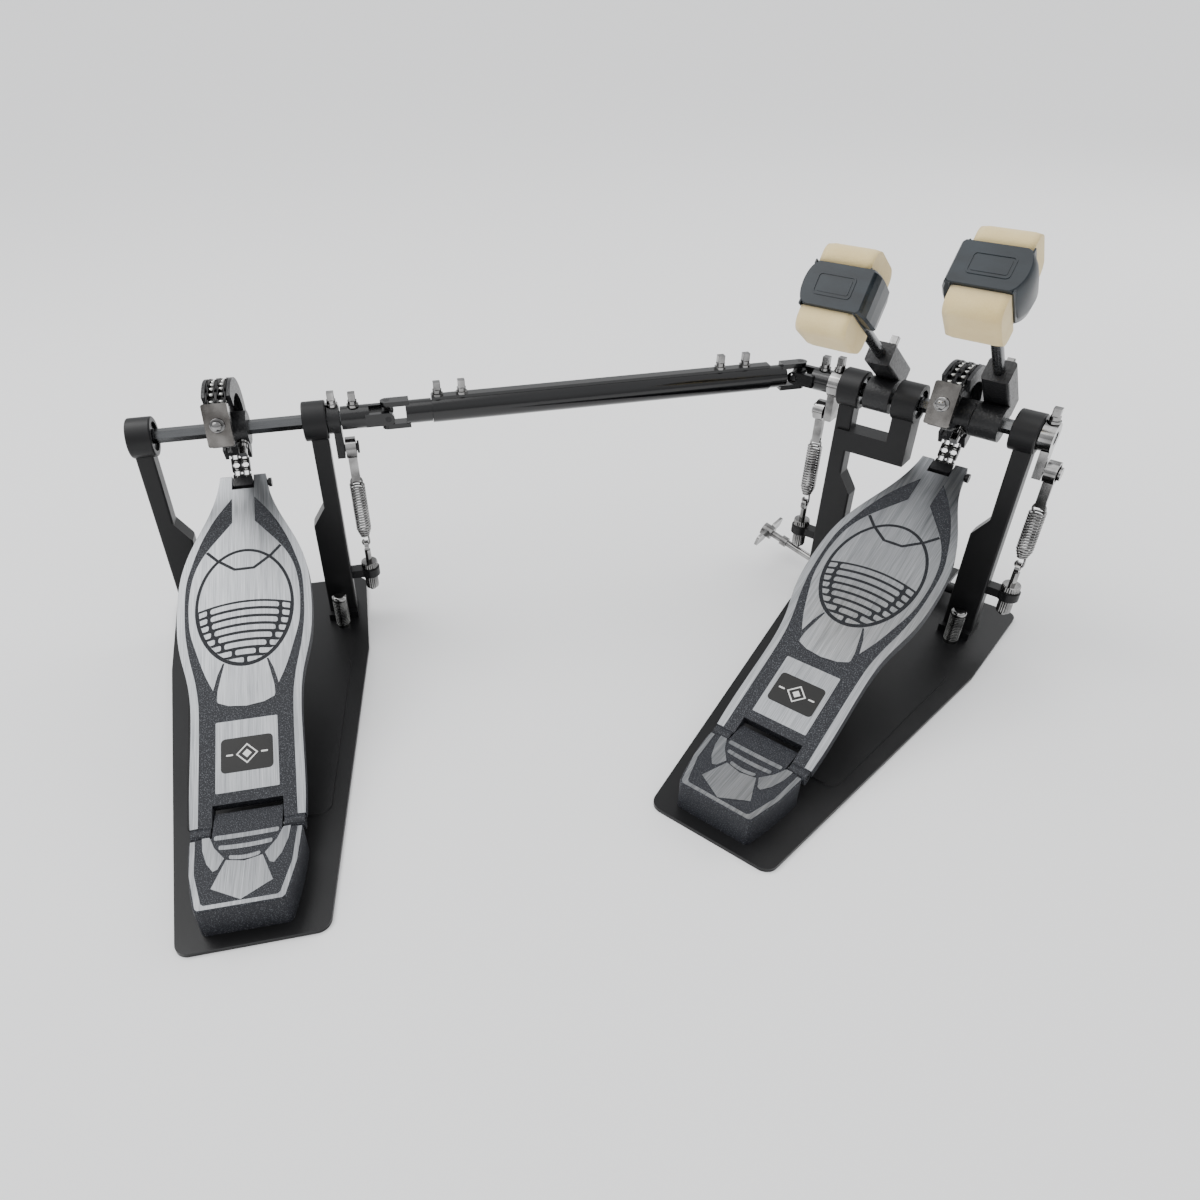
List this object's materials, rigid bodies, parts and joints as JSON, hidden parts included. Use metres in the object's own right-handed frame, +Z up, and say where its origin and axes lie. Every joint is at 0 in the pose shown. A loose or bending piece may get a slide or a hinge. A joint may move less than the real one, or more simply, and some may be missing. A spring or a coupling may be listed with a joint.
{
  "type": "bass drum pedal",
  "caption": "Double bass drum pedal: chain-drive main pedal with felt beaters and a remote second pedal joined by a telescoping drive shaft with universal joints.",
  "frame": {"origin": "underside of the primary pedal's base plate, on the floor below its shaft at the footboard's centre line", "axes": "+X to the right along the primary shaft, +Y forward to the drum, +Z up"},
  "size_m": [0.5872, 0.6511, 0.3357],
  "materials": {
    "powder_black": "satin black powder coat",
    "cast_board": "brushed face with dark speckled paint",
    "steel": "drawn and ground",
    "cam_black": "semi-gloss black",
    "chain_steel": "oiled dark chain",
    "chrome": "polished",
    "gloss_black": "gloss black",
    "beater_plastic": "moulded",
    "felt": "pressed felt"
  },
  "bodies": {
    "root": {"primary_base_plate": "powder_black", "primary_left_post": "powder_black", "primary_right_post": "powder_black", "primary_bearings": "steel", "primary_eyebolts": "chrome", "primary_heel_plate": "cast_board", "primary_heel_hinge_pin": "steel", "primary_spurs": "chrome"},
    "primary_shaft_body": {"primary_shaft": "steel", "primary_cam": "cam_black", "primary_chain_clamp": "chrome", "primary_chain_wrap": "chain_steel", "primary_spring_arm": "chrome", "primary_shaft_screws": "chrome", "primary_beater_hub": "cam_black"},
    "primary_beater": {"primary_beater_rod": "steel", "primary_beater_body": "beater_plastic", "primary_beater_felts": "felt"},
    "primary_footboard_body": {"primary_footboard": "cast_board", "primary_toe_clevis": "cam_black"},
    "primary_chain": {"primary_chain_run": "chain_steel"},
    "primary_spring": {"primary_spring_coil": "chrome"},
    "primary_hanger": {"primary_spring_hanger": "chrome"},
    "slave_base": {"slave_base_plate": "powder_black", "slave_posts": "powder_black", "slave_bearings": "steel", "slave_eyebolt": "chrome", "slave_heel_plate": "cast_board", "slave_heel_hinge_pin": "steel", "slave_spurs": "chrome"},
    "slave_shaft_body": {"slave_shaft": "steel", "slave_cam": "cam_black", "slave_chain_clamp": "chrome", "slave_chain_wrap": "chain_steel", "slave_spring_arm": "cam_black", "slave_shaft_screws": "chrome", "slave_joint_yoke": "cam_black", "slave_joint_cross": "cam_black"},
    "slave_footboard_body": {"slave_footboard": "cast_board", "slave_toe_clevis": "cam_black"},
    "slave_chain": {"slave_chain_run": "chain_steel"},
    "slave_spring": {"slave_spring_coil": "chrome"},
    "slave_hanger": {"slave_spring_hanger": "chrome"},
    "drive_rod_body": {"drive_rod": "gloss_black"},
    "drive_tube_body": {"drive_tube": "gloss_black", "drive_yoke": "gloss_black", "drive_tube_screws": "chrome"},
    "joint_cross_body": {"primary_joint_cross": "cam_black"},
    "secondary_shaft_body": {"secondary_shaft": "steel", "primary_joint_yoke": "cam_black", "secondary_spring_arm": "chrome", "secondary_screws": "chrome", "secondary_beater_hub": "cam_black"},
    "secondary_beater": {"secondary_beater_rod": "steel", "secondary_beater_body": "beater_plastic", "secondary_beater_felts": "felt"},
    "secondary_spring": {"secondary_spring_coil": "chrome"},
    "secondary_hanger": {"secondary_spring_hanger": "chrome"},
    "clamp_jaw_body": {"hoop_clamp_jaw": "powder_black"},
    "wing_bolt_body": {"wing_bolt": "chrome"}
  },
  "joints": [
    {"name": "primary_shaft_turn", "type": "hinge", "parent": "root", "child": "primary_shaft_body", "pos_m": [0, 0, 0.183], "axis": [-1, 0, 0], "range_deg": [0, 52], "stiffness_Nm_per_rad": 0.5, "springref_deg": -63.03},
    {"name": "primary_footboard_turn", "type": "hinge", "parent": "root", "child": "primary_footboard_body", "pos_m": [0, -0.251, 0.0205], "axis": [-1, 0, 0], "range_deg": [0, 7.89]},
    {"name": "primary_chain_turn", "type": "hinge", "parent": "primary_shaft_body", "child": "primary_chain", "pos_m": [0, 0.03498, 0.18422], "axis": [1, 0, 0], "range_deg": [0, 76.74]},
    {"name": "primary_spring_tilt", "type": "hinge", "parent": "root", "child": "primary_spring", "pos_m": [0.0766, 0, 0.075], "axis": [1, 0, 0], "range_deg": [0, 12.03]},
    {"name": "primary_spring_stretch", "type": "slide", "parent": "primary_spring", "child": "primary_hanger", "axis": [0, 0, 1], "range_m": [0, 0.0117], "deforming": ["primary_spring_coil"]},
    {"name": "slave_reach", "type": "slide", "parent": "root", "child": "slave_base", "axis": [-0.6252, -0.7804, 0], "range_m": [0, 0.06]},
    {"name": "slave_shaft_turn", "type": "hinge", "parent": "slave_base", "child": "slave_shaft_body", "pos_m": [-0.41269, -0.35759, 0.183], "axis": [-0.6252, -0.7804, 0], "range_deg": [0, 52], "stiffness_Nm_per_rad": 0.5, "springref_deg": -63.03},
    {"name": "slave_footboard_turn", "type": "hinge", "parent": "slave_base", "child": "slave_footboard_body", "pos_m": [-0.2168, -0.51453, 0.0205], "axis": [-0.6252, -0.7804, 0], "range_deg": [0, 7.89]},
    {"name": "slave_chain_turn", "type": "hinge", "parent": "slave_shaft_body", "child": "slave_chain", "pos_m": [-0.43999, -0.33572, 0.18422], "axis": [0.6252, 0.7804, 0], "range_deg": [0, 76.74]},
    {"name": "slave_spring_tilt", "type": "hinge", "parent": "slave_base", "child": "slave_spring", "pos_m": [-0.35735, -0.28852, 0.067], "axis": [0.6252, 0.7804, 0], "range_deg": [0, 11.1]},
    {"name": "slave_spring_stretch", "type": "slide", "parent": "slave_spring", "child": "slave_hanger", "axis": [0, 0, 1], "range_m": [0, 0.01154], "deforming": ["slave_spring_coil"]},
    {"name": "drive_rod_turn", "type": "hinge", "parent": "slave_base", "child": "drive_rod_body", "pos_m": [-0.33766, -0.26394, 0.183], "axis": [-0.6252, -0.7804, 0], "range_deg": [0, 52.02]},
    {"name": "drive_tube_turn", "type": "hinge", "parent": "root", "child": "drive_tube_body", "pos_m": [-0.1262, 0, 0.183], "axis": [-0.6252, -0.7804, 0], "range_deg": [0, 52.02]},
    {"name": "joint_cross_turn", "type": "hinge", "parent": "drive_tube_body", "child": "joint_cross_body", "pos_m": [-0.1262, 0, 0.183], "axis": [0, 0, 1], "range_deg": [0, 13.78]},
    {"name": "secondary_shaft_turn", "type": "hinge", "parent": "root", "child": "secondary_shaft_body", "pos_m": [0, 0, 0.183], "axis": [-1, 0, 0], "range_deg": [0, 38.69]},
    {"name": "secondary_spring_tilt", "type": "hinge", "parent": "root", "child": "secondary_spring", "pos_m": [-0.1015, 0, 0.069], "axis": [1, 0, 0], "range_deg": [0, 9.41]},
    {"name": "secondary_spring_stretch", "type": "slide", "parent": "secondary_spring", "child": "secondary_hanger", "axis": [0, 0, 1], "range_m": [0, 0.00678], "deforming": ["secondary_spring_coil"]},
    {"name": "primary_beater_height", "type": "slide", "parent": "primary_shaft_body", "child": "primary_beater", "axis": [0, -0.7071, 0.7071], "range_m": [-0.015, 0.02]},
    {"name": "secondary_beater_height", "type": "slide", "parent": "secondary_shaft_body", "child": "secondary_beater", "axis": [0, -0.8192, 0.5736], "range_m": [-0.015, 0.02]},
    {"name": "wing_bolt_turn", "type": "hinge", "parent": "root", "child": "wing_bolt_body", "pos_m": [-0.133, 0, 0.0295], "axis": [0.9659, 0, -0.2588], "range_deg": [0, 1440]},
    {"name": "clamp_jaw_turn", "type": "hinge", "parent": "root", "child": "clamp_jaw_body", "pos_m": [0, 0.034, 0.015], "axis": [-1, 0, 0], "range_deg": [0, 12.02]}
  ],
  "couplings": [
    {"joint": "primary_footboard_turn", "follows": "primary_shaft_turn", "ratio": 0.1513},
    {"joint": "primary_chain_turn", "follows": "primary_shaft_turn", "ratio": 1.4755},
    {"joint": "primary_spring_tilt", "follows": "primary_shaft_turn", "ratio": 0.23095},
    {"joint": "primary_spring_stretch", "follows": "primary_shaft_turn", "m_per_rad": 0.01287},
    {"joint": "slave_footboard_turn", "follows": "slave_shaft_turn", "ratio": 0.1513},
    {"joint": "slave_chain_turn", "follows": "slave_shaft_turn", "ratio": 1.4755},
    {"joint": "slave_spring_tilt", "follows": "slave_shaft_turn", "ratio": 0.21306},
    {"joint": "slave_spring_stretch", "follows": "slave_shaft_turn", "m_per_rad": 0.012692},
    {"joint": "drive_rod_turn", "follows": "slave_shaft_turn", "ratio": 1},
    {"joint": "drive_tube_turn", "follows": "slave_shaft_turn", "ratio": 1},
    {"joint": "joint_cross_turn", "follows": "slave_shaft_turn", "ratio": 0.26459},
    {"joint": "secondary_shaft_turn", "follows": "slave_shaft_turn", "ratio": 0.74364},
    {"joint": "secondary_spring_tilt", "follows": "slave_shaft_turn", "ratio": 0.18054},
    {"joint": "secondary_spring_stretch", "follows": "slave_shaft_turn", "m_per_rad": 0.0074523},
    {"joint": "clamp_jaw_turn", "follows": "wing_bolt_turn", "ratio": 0.0083333}
  ]
}
